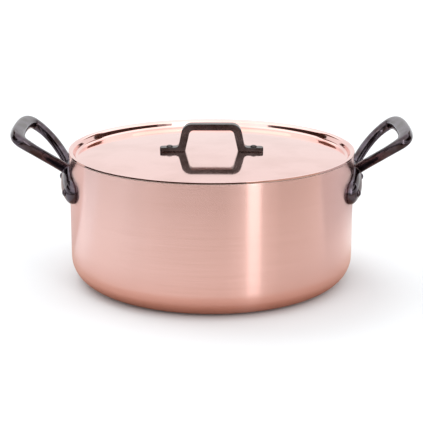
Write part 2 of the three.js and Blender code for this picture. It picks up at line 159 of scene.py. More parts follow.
class LidHandleSizes(bpy.types.PropertyGroup):
    rivet_spacing: length("Rivet spacing", "Distance between the two rivets", 84 * MM)
    ear_overhang: length("Ear overhang", "Ear's length past its rivet", 9.7 * MM)
    ear_thickness: length("Ear thickness", "Thickness of an ear", 4 * MM)
    foot_width: length("Foot width", "Width over the legs at the lid", 66.3 * MM)
    top_width: length("Top width", "Width over the legs at the top", 56.8 * MM)
    clear_height: length("Clear height", "Room for fingers under the bar", 21.2 * MM)
    bar_thickness: length("Bar thickness", "Thickness of the bar", 6.4 * MM)
    leg_thickness: length("Leg thickness", "Thickness of a leg", 6.8 * MM)
    depth: length("Depth", "Size of the bridge across its length", 10.6 * MM)
    outer_corner: length("Outer corner", "Rounding of the bridge's outer corners", 10.5 * MM)
    inner_corner: length("Inner corner", "Rounding of the bridge's inner corners", 4.5 * MM)
    ear_fillet: length("Ear fillet", "Rounding between a leg and its ear", 4 * MM)
    ear_round: length("Ear round", "Rounding of an ear's corners in plan", 3 * MM)
    seat_gap: length("Seat gap", "Gap between the casting and the lid", 0.3 * MM)
    grain: length("Casting grain", "Size of the cells that the casting is blended with", 0.4 * MM)
    blending: count("Blending", "Passes that round the casting's edges", 6)


class RivetSizes(bpy.types.PropertyGroup):
    shank_radius: length("Shank radius", "Radius of a side handle's rivet", 2.5 * MM)
    head_radius: length("Head radius", "Radius of the head inside the pot", 6.5 * MM)
    head_height: length("Head height", "Height of the head inside the pot", 2.4 * MM)
    tail_radius: length("Tail radius", "Radius of the set end on the handle", 3.4 * MM)
    tail_height: length("Tail height", "Height of the set end on the handle", 2.4 * MM)
    centre_rise: length("Centre rise", "Middle rivet above the middle of the base", 4.9 * MM)
    lid_shank_radius: length("Lid shank radius", "Radius of a lid rivet", 2.4 * MM)
    lid_head_radius: length("Lid head radius", "Radius of the head under the lid", 5 * MM)
    lid_head_height: length("Lid head height", "Height of the head under the lid", 1.8 * MM)
    lid_tail_radius: length("Lid tail radius", "Radius of the set end on the ear", 3.3 * MM)
    lid_tail_height: length("Lid tail height", "Height of the set end on the ear", 1.5 * MM)
    hole_clearance: length("Hole clearance", "Room round a shank", 0.2 * MM)
    seat_gap: length("Seat gap", "Gap under a head and a set end", 0.3 * MM)
    spot_depth: length("Spot face depth", "Depth of the flat that a set end sits in", 0.5 * MM)
    spot_clearance: length("Spot face clearance", "Room round a set end", 0.5 * MM)


class Finishes(bpy.types.PropertyGroup):
    copper: colour("Copper", "Polished copper", "F8D1CB")
    copper_grain: colour("Copper grain", "Copper in the lines of the brushing", "F0C8C1")
    steel: colour("Steel", "Satin stainless steel", "D2D0CC")
    iron: colour("Iron", "Dark burnished cast iron", "665E68")
    iron_pits: colour("Iron pits", "Cast iron in its low places", "443A3B")
    lid_iron: colour("Lid iron", "Blackened cast iron of the lid's handle", "545050")
    lid_iron_pits: colour("Lid iron pits", "Blackened cast iron in its low places", "37302D")


class StudioSettings(bpy.types.PropertyGroup):
    distance: length("Distance", "Camera to the middle of the pan", 1.3014)
    aim_height: length("Aim height", "Height that the camera aims at", 70 * MM)
    elevation: angle("Elevation", "Camera's angle above the table", 15.47)
    roll: angle("Roll", "Camera's turn about its own axis", 0.1)
    lens: FloatProperty(
        name="Lens", description="Focal length on a 36 mm sensor", default=109.2, unit="CAMERA"
    )
    drop: ratio("Drop", "Lens shift upwards, as a share of the frame", -0.0093)
    paper: colour("Paper", "White paper under the pan", "D9DCDE")


SETTINGS = {
    "stewpan_pot": PotSizes,
    "stewpan_lid": LidSizes,
    "stewpan_handles": HandleSizes,
    "stewpan_lid_handle": LidHandleSizes,
    "stewpan_rivets": RivetSizes,
    "stewpan_finishes": Finishes,
    "stewpan_studio": StudioSettings,
}


# Meshes


def new_piece(name, vertices, faces):
    mesh = bpy.data.meshes.new(name)
    mesh.from_pydata([tuple(vertex) for vertex in vertices], [], faces)
    piece = bpy.data.objects.new(name, mesh)
    bpy.context.scene.collection.objects.link(piece)
    return piece


def lathe(name, profile, segments):
    """A closed solid turned about Z, from (radius, height) points that start and end on the axis."""
    rings = profile[1:-1]
    vertices = [Vector((0, 0, profile[0][1]))]
    for radius, height in rings:
        for step in range(segments):
            turn = 2 * math.pi * step / segments
            vertices.append(Vector((radius * math.cos(turn), radius * math.sin(turn), height)))
    vertices.append(Vector((0, 0, profile[-1][1])))
    last = len(vertices) - 1
    top_ring = 1 + (len(rings) - 1) * segments
    faces = []
    for step in range(segments):
        after = (step + 1) % segments
        faces.append((0, 1 + after, 1 + step))
        faces.append((last, top_ring + step, top_ring + after))
        for ring in range(len(rings) - 1):
            low = 1 + ring * segments
            high = low + segments
            faces.append((low + step, low + after, high + after, high + step))
    return new_piece(name, vertices, faces)


def cylinder(name, radius, bottom, top, segments):
    return lathe(name, [(0, bottom), (radius, bottom), (radius, top), (0, top)], segments)


def loft(name, rings):
    """A closed skin over a row of rings that all have the same number of points."""
    sides = len(rings[0])
    vertices = [point for ring in rings for point in ring]
    faces = [tuple(reversed(range(sides)))]
    for ring in range(len(rings) - 1):
        near = ring * sides
        far = near + sides
        for side in range(sides):
            after = (side + 1) % sides
            faces.append((near + side, near + after, far + after, far + side))
    end = (len(rings) - 1) * sides
    faces.append(tuple(range(end, end + sides)))
    return new_piece(name, vertices, faces)


def shares(steps):
    return [step / steps for step in range(steps + 1)]


def mix(start, end, share):
    return start + (end - start) * share


def arc(centre, radius, start, end, steps, bulge=1):
    """Points on an arc in (radius, height), each with the way out of the sheet that it bounds."""
    points = []
    for share in shares(steps):
        turn = mix(start, end, share)
        out = Vector((math.cos(turn), math.sin(turn)))
        points.append((centre + radius * out, bulge * out))
    return points


def fillet(before, corner, after, radius, steps):
    """Points that round one corner of an outline."""
    to_before = (before - corner).normalized()
    to_after = (after - corner).normalized()
    half = to_before.angle(to_after) / 2
    centre = corner + (to_before + to_after).normalized() * radius / math.sin(half)
    first = corner + to_before * radius / math.tan(half) - centre
    last = corner + to_after * radius / math.tan(half) - centre
    sweep = first.angle_signed(last)
    return [centre + Matrix.Rotation(-sweep * share, 2) @ first for share in shares(steps)]


def round_corners(corners):
    """Closed outline through corners, each given with the radius that rounds it."""
    points = []
    for index, (at, radius) in enumerate(corners):
        before = corners[index - 1][0]
        after = corners[(index + 1) % len(corners)][0]
        points += fillet(before, at, after, radius, CORNER_STEPS) if radius > 0 else [at]
    return points


def sheet_layer(face, first_depth, second_depth, edge_round):
    """Profile of the layer of a sheet between two depths under its face, with its free edge rounded."""
    first = [point - out * first_depth for point, out in face]
    second = [point - out * second_depth for point, out in reversed(face)]
    edge = fillet(first[-2], first[-1], second[0], edge_round, EDGE_STEPS)
    back = fillet(first[-1], second[0], second[1], edge_round, EDGE_STEPS)
    # A second point beside each end of the rounding keeps the faces next to it flat.
    beside = 0.05
    edge.insert(0, edge[0] + (first[-2] - edge[0]).normalized() * edge_round)
    edge.append(mix(edge[-1], back[0], beside))
    back.insert(0, mix(edge[-2], back[0], 1 - beside))
    back.append(back[-1] + (second[1] - back[-1]).normalized() * edge_round)
    return first[:-1] + edge + back + second[1:]


def sheet_thickness(part):
    return part.copper + part.bond + part.lining


def settle(piece):
    """Turn a piece's modifiers into its mesh."""
    shaped = bpy.data.meshes.new_from_object(piece.evaluated_get(bpy.context.evaluated_depsgraph_get()))
    raw = piece.data
    name = raw.name
    piece.modifiers.clear()
    piece.data = shaped
    bpy.data.meshes.remove(raw)
    shaped.name = name


def combine(piece, other, operation):
    """Add, cut or keep the overlap of two closed pieces, and remove the second."""
    joining = piece.modifiers.new("combine", "BOOLEAN")
    joining.operation = operation
    joining.solver = "EXACT"
    joining.object = other
    settle(piece)
    discard(other)


def discard(piece):
    mesh = piece.data
    bpy.data.objects.remove(piece)
    bpy.data.meshes.remove(mesh)


def join(piece, other):
    """Put a second piece's faces into the first piece's mesh."""
    offset = len(piece.data.vertices)
    vertices = [v.co.copy() for v in piece.data.vertices] + [v.co.copy() for v in other.data.vertices]
    faces = [tuple(f.vertices) for f in piece.data.polygons]
    faces += [tuple(offset + index for index in f.vertices) for f in other.data.polygons]
    name = piece.name
    discard(piece)
    discard(other)
    return new_piece(name, vertices, faces)


def blend_casting(piece, grain, passes):
    """Run overlapping forms together into one skin with rounded corners, as a casting has."""
    skin = piece.modifiers.new("skin", "REMESH")
    skin.mode = "VOXEL"
    skin.voxel_size = grain
    rounding = piece.modifiers.new("rounding", "SMOOTH")
    rounding.factor = 0.5
    rounding.iterations = passes
    settle(piece)


def finish_piece(piece, material, body, slot, *nodes):
    """Shade a piece, set it on its body and let it stand for its CAD nodes."""
    piece.data.shade_smooth()
    piece.data.set_sharp_from_angle(angle=SHARP_ANGLE)
    piece.data.materials.clear()
    piece.data.materials.append(material)
    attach(piece, body)
    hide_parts(*nodes)


# Materials

# Most of a noise texture's values lie between these two.
NOISE_RANGE = {"From Min": 0.3, "From Max": 0.7}


def set_sockets(tree, node, values, links):
    """Set a node's sockets to values, and link them to other sockets or to the first output of nodes."""
    for socket, value in values.items():
        node.inputs[socket].default_value = value
    for socket, source in links.items():
        output = source.outputs[0] if isinstance(source, bpy.types.Node) else source
        tree.links.new(output, node.inputs[socket])


def add_node(tree, kind, values=None, links=None, stops=(), **settings):
    """Add a node with its settings, socket values, links and colour stops."""
    node = tree.nodes.new("ShaderNode" + kind)
    for name, value in settings.items():
        setattr(node, name, value)
    set_sockets(tree, node, values or {}, links or {})
    for index, (position, tint) in enumerate(stops):
        ramp = node.color_ramp.elements
        stop = ramp[index] if index < len(ramp) else ramp.new(position)
        stop.position = position
        stop.color = rgba(tint)
    return node


def new_material(name):
    material = bpy.data.materials.new(name)
    material.use_nodes = True
    tree = material.node_tree
    return material, tree, tree.nodes["Principled BSDF"]


def rgba(linear_colour):
    return (*linear_colour, 1.0)


def place_on_pan(tree):
    """A point's coordinates, whole and split, and its distance from the pan's axis."""
    place = add_node(tree, "TexCoord").outputs["Object"]
    split = add_node(tree, "SeparateXYZ", links={"Vector": place}).outputs
    flat = add_node(tree, "CombineXYZ", links={"X": split["X"], "Y": split["Y"]})
    distance = add_node(tree, "VectorMath", links={0: flat}, operation="LENGTH")
    return place, split, distance.outputs["Value"]


def cover_metal(tree, shader, marks, tones, relief, sharpest, dullest):
    """Give bare metal a relief, and a tone and a gloss that change with the marks on it."""
    tone = add_node(tree, "ValToRGB", links={"Fac": marks}, stops=tones)
    gloss = add_node(
        tree, "MapRange", {**NOISE_RANGE, "To Min": sharpest, "To Max": dullest}, {"Value": marks}
    )
    set_sockets(
        tree, shader, {"Metallic": 1.0}, {"Base Color": tone, "Roughness": gloss, "Normal": relief}
    )


def brushed_copper(finishes):
    """Copper sheet brushed round the pan: fine lines that spread every highlight up and down the wall."""
    material, tree, shader = new_material("brushed copper")
    line_spacing = 0.6 * MM  # real lines are nearer 0.2 mm; drawn coarser so that they show
    line_length = 90 * MM
    groove_depth = 0.02 * MM
    place = add_node(tree, "TexCoord").outputs["Object"]
    scale = (1 / line_length, 1 / line_length, 1 / line_spacing)
    stretch = add_node(tree, "Mapping", {"Scale": scale}, {"Vector": place})
    lines = add_node(
        tree, "TexNoise", {"Scale": 1.0, "Detail": 3.0, "Roughness": 0.6}, {"Vector": stretch}
    )
    tones = ((0.3, finishes.copper_grain), (0.6, finishes.copper))
    tone = add_node(tree, "ValToRGB", links={"Fac": lines}, stops=tones)
    grooves = add_node(tree, "Bump", {"Strength": 0.15, "Distance": groove_depth}, {"Height": lines})
    around = add_node(tree, "Tangent", direction_type="RADIAL", axis="Z")
    set_sockets(
        tree,
        shader,
        {"Metallic": 1.0, "Roughness": 0.25, "Anisotropic": 1.0, "Anisotropic Rotation": 0.25},
        {"Base Color": tone, "Normal": grooves, "Tangent": around},
    )
    return material


def polished_copper(finishes):
    """Copper sheet polished on a wheel: a near mirror with a faint haze and the last rings of polishing."""
    material, tree, shader = new_material("polished copper")
    ring_spacing = 1.6 * MM  # real rings are much finer; drawn coarser so that they show
    ring_depth = 0.02 * MM
    haze_size = 45 * MM
    place, _, distance = place_on_pan(tree)
    rings = add_node(
        tree, "TexNoise", {"Scale": 1 / ring_spacing, "Detail": 2.0}, {"W": distance}, noise_dimensions="1D"
    )
    haze = add_node(tree, "TexNoise", {"Scale": 1 / haze_size, "Detail": 4.0}, {"Vector": place})
    waves = add_node(tree, "Bump", {"Strength": 0.05, "Distance": ring_depth}, {"Height": rings})
    tones = ((0.35, finishes.copper_grain), (0.55, finishes.copper))
    cover_metal(tree, shader, haze, tones, waves, sharpest=0.05, dullest=0.1)
    return material


def satin_stainless(finishes):
    """Stainless sheet with a satin finish: grey, softly reflecting, with fine turned lines."""
    material, tree, shader = new_material("satin stainless steel")
    line_spacing = 1.0 * MM  # real lines are nearer 0.1 mm; drawn coarser so that they show
    line_length = 80 * MM
    line_depth = 0.02 * MM
    _, split, distance = place_on_pan(tree)
    along = add_node(tree, "Math", links={0: distance, 1: split["Z"]}, operation="ADD")
    across = add_node(tree, "Math", {1: line_length / line_spacing}, {0: along}, operation="MULTIPLY")
    turned = add_node(tree, "CombineXYZ", links={"X": split["X"], "Y": split["Y"], "Z": across})
    lines = add_node(tree, "TexNoise", {"Scale": 1 / line_length, "Detail": 3.0}, {"Vector": turned})
    gloss = add_node(tree, "MapRange", {**NOISE_RANGE, "To Min": 0.26, "To Max": 0.42}, {"Value": lines})
    grooves = add_node(tree, "Bump", {"Strength": 0.3, "Distance": line_depth}, {"Height": lines})
    looks = {"Base Color": rgba(finishes.steel), "Metallic": 1.0}
    set_sockets(tree, shader, looks, {"Roughness": gloss, "Normal": grooves})
    return material


def cast_iron(name, high_tone, low_tone, **gloss):
    """Cast iron with the low bumps that the sand mould leaves, under a gloss that varies with handling."""
    material, tree, shader = new_material(name)
    sand_grain = 1.4 * MM
    bump_height = 0.06 * MM
    hand_marks = 14 * MM
    place = add_node(tree, "TexCoord").outputs["Object"]
    grain = add_node(
        tree, "TexNoise", {"Scale": 1 / sand_grain, "Detail": 3.0, "Roughness": 0.55}, {"Vector": place}
    )
    marks = add_node(tree, "TexNoise", {"Scale": 1 / hand_marks, "Detail": 3.0}, {"Vector": place})
    skin = add_node(tree, "Bump", {"Strength": 0.25, "Distance": bump_height}, {"Height": grain})
    tones = ((0.35, low_tone), (0.65, high_tone))
    cover_metal(tree, shader, marks, tones, skin, **gloss)
    return material


def burnished_iron(finishes):
    """Cast iron, fettled and burnished: dark grey, with a gloss that catches the lamps along its edges."""
    return cast_iron("burnished cast iron", finishes.iron, finishes.iron_pits, sharpest=0.1, dullest=0.22)


def blackened_iron(finishes):
    """Cast iron, oiled and blackened by heat: browner and duller than the burnished handles."""
    tones = (finishes.lid_iron, finishes.lid_iron_pits)
    return cast_iron("blackened cast iron", *tones, sharpest=0.18, dullest=0.3)


def shared(name, make, finishes):
    """The material of that name, made the first time that a piece asks for it."""
    return bpy.data.materials.get(name) or make(finishes)


# Sheets


def turn_sheets(body, profiles):
    """Turn a body's copper and its stainless lining from their profiles."""
    names = (f"{body}_copper", f"{body}_stainless")
    return [lathe(name, profile, SHEET_SEGMENTS) for name, profile in zip(names, profiles)]


def sheet_profiles(face, part, edge_round):
    """Profiles of a part's copper and of the lining that lies a bond line under it."""
    lining_round = part.lining / 3
    copper = sheet_layer(face, 0, part.copper, edge_round)
    lining = sheet_layer(face, part.copper + part.bond, sheet_thickness(part), lining_round)
    return copper, lining


def finish_sheets(body, layers, copper, finishes):
    shell, lining = layers
    steel = shared("satin stainless steel", satin_stainless, finishes)
    finish_piece(shell, copper, body, "copper", f"{body}_shell")
    finish_piece(lining, steel, body, "stainless", f"{body}_lining")


# Pot


def pot_face(pot):
    """Outline of the pot's outside from the middle of the bottom to the rim."""
    bottom_steps = 6
    bend_steps = 24
    wall_steps = 8
    corner = Vector((pot.outer_radius - pot.corner_radius, pot.corner_radius))
    down = Vector((0, -1))
    outward = Vector((1, 0))
    rise = pot.height - corner.y
    bottom = [(Vector((corner.x * share, 0)), down) for share in shares(bottom_steps)[:-1]]
    bend = arc(corner, pot.corner_radius, -math.pi / 2, 0, bend_steps)
    wall = [Vector((pot.outer_radius, corner.y + rise * share)) for share in shares(wall_steps)[1:]]
    return bottom + bend + [(point, outward) for point in wall]


class STEWPAN_OT_pot(bpy.types.Operator):
    """Turn the pot's copper shell and its stainless lining"""

    bl_idname = "stewpan.pot"
    bl_label = "Pot"
    bl_options = {"REGISTER", "UNDO"}

    def execute(self, context):
        scene = context.scene
        pot = scene.stewpan_pot
        finishes = scene.stewpan_finishes
        layers = turn_sheets(POT, sheet_profiles(pot_face(pot), pot, pot.rim_round))
        for layer in layers:
            for turn in SIDES.values():
                for place in rivet_places(scene):
                    combine(layer, handle_hole(scene, place, turn), "DIFFERENCE")
        finish_sheets(POT, layers, shared("brushed copper", brushed_copper, finishes), finishes)
        return {"FINISHED"}


# Lid


def lid_dome(lid):
    """Centre of the bend at the domed disc's edge, the dome's radius and the height of the dome's centre."""
    shoulder = lid_shoulder(lid)
    step_top = shoulder + lid.shoulder_radius * Vector((-math.sin(lid.step_slope), math.cos(lid.step_slope)))
    valley_height = lid.top - lid.step_depth + lid.valley_radius * math.cos(lid.dome_edge_slope)
    step_foot = valley_height - lid.valley_radius * math.cos(lid.step_slope)
    run = (step_top.y - step_foot) / math.tan(lid.step_slope)
    valley = Vector((step_top.x - run - lid.valley_radius * math.sin(lid.step_slope), valley_height))
    disc_radius = valley.x - lid.valley_radius * math.sin(lid.dome_edge_slope)
    dome_radius = disc_radius / math.sin(lid.dome_edge_slope)
    centre_height = lid.top - lid.step_depth - dome_radius * math.cos(lid.dome_edge_slope)
    return valley, dome_radius, centre_height


def lid_shoulder(lid):
    inset = (lid.shoulder_radius - sheet_thickness(lid)) * math.sin(lid.step_slope)
    return Vector((lid.plug_radius + inset, lid.top - lid.shoulder_radius))


def dome_height(lid, distance):
    _, dome_radius, centre_height = lid_dome(lid)
    return centre_height + math.sqrt(dome_radius**2 - distance**2)


def lid_face(lid):
    """Outline of the lid's top from its middle to the flange's edge."""
    valley, dome_radius, centre_height = lid_dome(lid)
    dome_steps = 20
    bend_steps = 16
    up = math.pi / 2
    dome = arc(Vector((0, centre_height)), dome_radius, up, up - lid.dome_edge_slope, dome_steps)
    dome[0] = (Vector((0, centre_height + dome_radius)), Vector((0, 1)))
    bend = arc(valley, lid.valley_radius, -up - lid.dome_edge_slope, -up + lid.step_slope, bend_steps, -1)
    shoulder = arc(lid_shoulder(lid), lid.shoulder_radius, up + lid.step_slope, up, bend_steps)
    edge = (Vector((lid.radius, lid.top)), Vector((0, 1)))
    # A second point beside each end of a bend keeps the step and the flange flat.
    beside = 0.1
    step = [(mix(bend[-1][0], shoulder[0][0], share), shoulder[0][1]) for share in (beside, 1 - beside)]
    flange = [(mix(shoulder[-1][0], edge[0], beside), edge[1])]
    return dome[:-1] + bend + step + shoulder + flange + [edge]


class STEWPAN_OT_lid(bpy.types.Operator):
    """Turn the lid's copper sheet and its stainless lining"""

    bl_idname = "stewpan.lid"
    bl_label = "Lid"
    bl_options = {"REGISTER", "UNDO"}

    def execute(self, context):
        scene = context.scene
        lid = scene.stewpan_lid
        finishes = scene.stewpan_finishes
        profiles = sheet_profiles(lid_face(lid), lid, lid.edge_round)
        layers = turn_sheets(LID, [list(reversed(profile)) for profile in profiles])
        for layer in layers:
            for side in (-1, 1):
                combine(layer, lid_hole(scene, side), "DIFFERENCE")
        finish_sheets(LID, layers, shared("polished copper", polished_copper, finishes), finishes)
        return {"FINISHED"}


# Side handles


def hub_height(scene):
    return scene.stewpan_pot.height - scene.stewpan_handles.base_drop


def rivet_places(scene):
    """Distance along the wall and height of a side handle's three rivets."""
    handles = scene.stewpan_handles
    middle = hub_height(scene)
    lobe = middle - handles.lobe_drop
    half = handles.lobe_spacing / 2
    centre = middle + scene.stewpan_rivets.centre_rise
    return [(-half, lobe), (0, centre), (half, lobe)]


def base_section(scene, along):
    """Foot, middle, top and thickness of a side handle's base at a distance along the wall."""
    handles = scene.stewpan_handles
    half = handles.lobe_spacing / 2
    swell = 0.5 + 0.5 * math.cos(math.pi * min(abs(along) / half, 1))
    past = max(abs(along) - half, 0)
    rounding = math.sqrt(max(1 - (past / handles.lobe_radius) ** 2, 0))
    middle = hub_height(scene) - handles.lobe_drop * (1 - swell)
    foot = middle - mix(handles.lobe_radius, handles.hub_half_height, swell) * rounding
    top = middle + mix(handles.lobe_radius, handles.shoulder_height, math.sqrt(swell)) * rounding
    thickness = mix(handles.lobe_thickness, handles.hub_thickness, swell) * rounding**handles.crown
    return foot, middle, top, thickness


def on_wall(scene, along, height, off):
    radius = scene.stewpan_pot.outer_radius
    turn = along / radius
    return Vector(((radius + off) * math.cos(turn), (radius + off) * math.sin(turn), height))


def handle_base(scene):
    handles = scene.stewpan_handles
    span_steps = 40
    end_steps = 10
    section_steps = 24
    quarter = 0.97 * math.pi / 2  # a little short, so that the last ring isn't a point
    half = handles.lobe_spacing / 2
    span = [handles.lobe_spacing * share - half for share in shares(span_steps)]
    end = [half + handles.lobe_radius * math.sin(share * quarter) for share in shares(end_steps)[1:]]
    rings = []
    for along in [-place for place in reversed(end)] + span + end:
        foot, middle, top, thickness = base_section(scene, along)
        ring = []
        for share in shares(section_steps):
            turn = (0.5 - share) * math.pi
            crown = abs(math.cos(turn)) ** handles.crown
            edge = top if turn > 0 else foot
            ring.append(on_wall(scene, along, mix(middle, edge, abs(math.sin(turn))), thickness * crown))
        rings.append(ring)
    return loft("handle_base", rings)


def ribbon_tilt(handles, reach):
    if reach < 0:
        return mix(handles.root_tilt, math.pi / 2, -reach / handles.neck_length)
    return mix(handles.root_tilt, handles.tip_tilt, reach / handles.reach)


def ribbon_point(scene, reach):
    """Distance from the pan's axis and height of the loop's middle line."""
    handles = scene.stewpan_handles
    end_tilt = math.pi / 2 if reach < 0 else handles.tip_tilt
    run = -handles.neck_length if reach < 0 else handles.reach
    bend = run / (end_tilt - handles.root_tilt)
    tilt = ribbon_tilt(handles, reach)
    root_radius = scene.stewpan_pot.outer_radius + handles.stand_off
    root_height = hub_height(scene) + handles.root_rise
    return (
        root_radius + bend * (math.sin(tilt) - math.sin(handles.root_tilt)),
        root_height - bend * (math.cos(tilt) - math.cos(handles.root_tilt)),
    )


def leg_spread(handles, reach):
    if reach < 0:
        share = 1 + reach / handles.neck_length
        return mix(handles.neck_half_width, handles.root_half_width, share**2)
    opening = math.sin(reach / handles.widest_at * math.pi / 2)
    return mix(handles.root_half_width, handles.half_width, opening)


def loop_stations(handles):
    """Reach and sideways place along the loop, from one root round the grip to the other."""
    neck_steps = 12
    leg_steps = 30
    grip_steps = 48
    neck = [-handles.neck_length * (1 - share) for share in shares(neck_steps)[:-1]]
    leg = [handles.widest_at * share for share in shares(leg_steps)[:-1]]
    rising = [(reach, -leg_spread(handles, reach)) for reach in neck + leg]
    beyond = handles.reach - handles.widest_at
    grip = []
    for share in shares(grip_steps):
        turn = share * math.pi
        out = beyond * rounded(math.sin(turn), handles.grip_power)
        side = -handles.half_width * rounded(math.cos(turn), handles.grip_power)
        grip.append((handles.widest_at + out, side))
    falling = [(reach, -side) for reach, side in reversed(rising)]
    return rising + grip + falling


def rounded(value, power):
    return math.copysign(abs(value) ** (2 / power), value)


def handle_loop(scene):
    handles = scene.stewpan_handles
    section_sides = 32
    stations = loop_stations(handles)
    points = []
    for reach, side in stations:
        radius, height = ribbon_point(scene, reach)
        points.append(Vector((radius, side, height)))
    rings = []
    for index, (reach, _) in enumerate(stations):
        before = points[max(index - 1, 0)]
        after = points[min(index + 1, len(points) - 1)]
        forward = (after - before).normalized()
        tilt = ribbon_tilt(handles, reach)
        normal = Vector((-math.sin(tilt), 0, math.cos(tilt)))
        across = normal.cross(forward).normalized()
        upward = forward.cross(across)
        share = min(max((reach - handles.grip_start) / (handles.reach - handles.grip_start), 0), 1)
        swell = share * share * (3 - 2 * share)  # eases in and out
        half_width = mix(handles.leg_half_width, handles.grip_half_width, swell)
        half_depth = mix(handles.leg_half_depth, handles.grip_half_depth, swell)
        ring = []
        for step in shares(section_sides)[:-1]:
            turn = step * 2 * math.pi
            wide = half_width * rounded(math.cos(turn), handles.section_power)
            deep = half_depth * rounded(math.sin(turn), handles.section_power)
            ring.append(points[index] + across * wide + upward * deep)
        rings.append(ring)
    return loft("handle_loop", rings)


def to_rivet(scene, piece, place, turn):
    """Turn a piece made along Z to a rivet's place on the wall."""
    along, height = place
    radius = scene.stewpan_pot.outer_radius
    outward = Matrix.Rotation(turn + along / radius, 4, "Z") @ Matrix.Rotation(math.pi / 2, 4, "Y")
    piece.data.transform(Matrix.Translation((0, 0, height)) @ outward)
    return piece


def tail_seat(scene, place):
    """Distance from the pan's axis of the flat under a rivet's set end."""
    handles = scene.stewpan_handles
    along, height = place
    foot, middle, top, thickness = base_section(scene, along)
    edge = top if height > middle else foot
    share = (height - middle) / (edge - middle)
    surface = thickness * math.sqrt(1 - share**2) ** handles.crown
    return scene.stewpan_pot.outer_radius + surface - scene.stewpan_rivets.spot_depth


def wall_span(scene):
    """Distances from the pan's axis between which a cutter goes through the wall and the base."""
    radius = scene.stewpan_pot.outer_radius
    return radius / 2, 1.2 * radius


def handle_hole(scene, place, turn):
    rivets = scene.stewpan_rivets
    radius = rivets.shank_radius + rivets.hole_clearance
    return to_rivet(scene, cylinder("hole", radius, *wall_span(scene), HOLE_SEGMENTS), place, turn)


def rivet_cutter(scene, place):
    """The hole and the flat for a rivet's set end, as one solid to cut with."""
    rivets = scene.stewpan_rivets
    hole = rivets.shank_radius + rivets.hole_clearance
    flat = rivets.tail_radius + rivets.spot_clearance
    seat = tail_seat(scene, place)
    inside, outside = wall_span(scene)
    profile = [(0, inside), (hole, inside), (hole, seat), (flat, seat), (flat, outside), (0, outside)]
    return to_rivet(scene, lathe("cutter", profile, HOLE_SEGMENTS), place, 0)


def handle_casting(scene):
    handles = scene.stewpan_handles
    pot = scene.stewpan_pot
    casting = join(handle_base(scene), handle_loop(scene))
    blend_casting(casting, handles.grain, handles.blending)
    wall = cylinder("wall", pot.outer_radius + handles.seat_gap, 0, 2 * pot.height, SHEET_SEGMENTS)
    combine(casting, wall, "DIFFERENCE")
    for place in rivet_places(scene):
        combine(casting, rivet_cutter(scene, place), "DIFFERENCE")
    return casting


def dome_points(radius, height, seat):
    """Profile of a domed end from its crown to its seat."""
    steps = 12
    points = []
    for share in shares(steps):
        turn = share * math.pi / 2
        points.append((radius * math.sin(turn), seat + height * math.cos(turn)))
    return points


def rivet_profile(shank_radius, head, head_seat, tail, tail_place):
    """A domed head, a shank and a smaller domed set end, from the head's crown to the tail's."""
    head_radius, head_height = head
    crown = dome_points(head_radius, -head_height, head_seat)
    set_end = dome_points(*tail, tail_place)
    shank = [(shank_radius, head_seat), (shank_radius, tail_place)]
    return crown + shank + list(reversed(set_end))


def steel_inside(rivet, steel, is_inside):
    """Give steel to the faces of a rivet that lie inside the pan."""
    rivet.data.materials.append(steel)
    for polygon in rivet.data.polygons:
        polygon.material_index = 1 if is_inside(polygon.center) else 0


class STEWPAN_OT_side_handles(bpy.types.Operator):
    """Cast the two side handles and set their rivets"""

    bl_idname = "stewpan.side_handles"
    bl_label = "Side handles"
    bl_options = {"REGISTER", "UNDO"}

    def execute(self, context):
        scene = context.scene
        pot = scene.stewpan_pot
        rivets = scene.stewpan_rivets
        finishes = scene.stewpan_finishes
        iron = shared("burnished cast iron", burnished_iron, finishes)
        steel = shared("satin stainless steel", satin_stainless, finishes)
        casting = handle_casting(scene)
        head_seat = pot.outer_radius - sheet_thickness(pot) - rivets.seat_gap
        for side, turn in SIDES.items():
            handle = bpy.data.objects.new(side + "_casting", casting.data.copy())
            scene.collection.objects.link(handle)
            handle.data.transform(Matrix.Rotation(turn, 4, "Z"))
            finish_piece(handle, iron, POT, "cast_iron", side)
            for name, place in zip(RIVET_PLACES[side], rivet_places(scene)):
                profile = rivet_profile(
                    rivets.shank_radius,
                    (rivets.head_radius, rivets.head_height),
                    head_seat,
                    (rivets.tail_radius, rivets.tail_height),
                    tail_seat(scene, place) + rivets.seat_gap,
                )
                rivet = lathe(f"{side}_set_rivet_{name}", profile, RIVET_SEGMENTS)
                to_rivet(scene, rivet, place, turn)
                finish_piece(rivet, iron, POT, "rivet", f"{side}_rivet_{name}")
                steel_inside(rivet, steel, lambda at: at.xy.length < pot.outer_radius)
        discard(casting)
        return {"FINISHED"}


# Lid handle


def bridge_outline(scene):
    """Side view of the lid handle, as points in (along, height)."""
    bridge = scene.stewpan_lid_handle
    lid = scene.stewpan_lid
    end = bridge.rivet_spacing / 2 + bridge.ear_overhang
    foot = bridge.foot_width / 2
    top = bridge.top_width / 2
    foot_under = dome_height(lid, foot) + bridge.seat_gap
    end_under = dome_height(lid, end) + bridge.seat_gap
    bar_under = dome_height(lid, 0) + bridge.clear_height
    half = [
        (Vector((top - bridge.leg_thickness, bar_under)), bridge.inner_corner),
        (Vector((foot - bridge.leg_thickness, foot_under)), 0),
        (Vector((foot, foot_under)), 0),
        (Vector((end, end_under)), 0),
        (Vector((end, end_under + bridge.ear_thickness)), 0),
        (Vector((foot, foot_under + bridge.ear_thickness)), bridge.ear_fillet),
        (Vector((top, bar_under + bridge.bar_thickness)), bridge.outer_corner),
    ]
    return round_corners(half + [(Vector((-at.x, at.y)), radius) for at, radius in reversed(half)])


def ear_plan(scene):
    """Plan of the lid handle, a bar with rounded corners."""
    bridge = scene.stewpan_lid_handle
    end = bridge.rivet_spacing / 2 + bridge.ear_overhang
    half = bridge.depth / 2
    corners = [Vector((end, -half)), Vector((end, half)), Vector((-end, half)), Vector((-end, -half))]
    return round_corners([(corner, bridge.ear_round) for corner in corners])


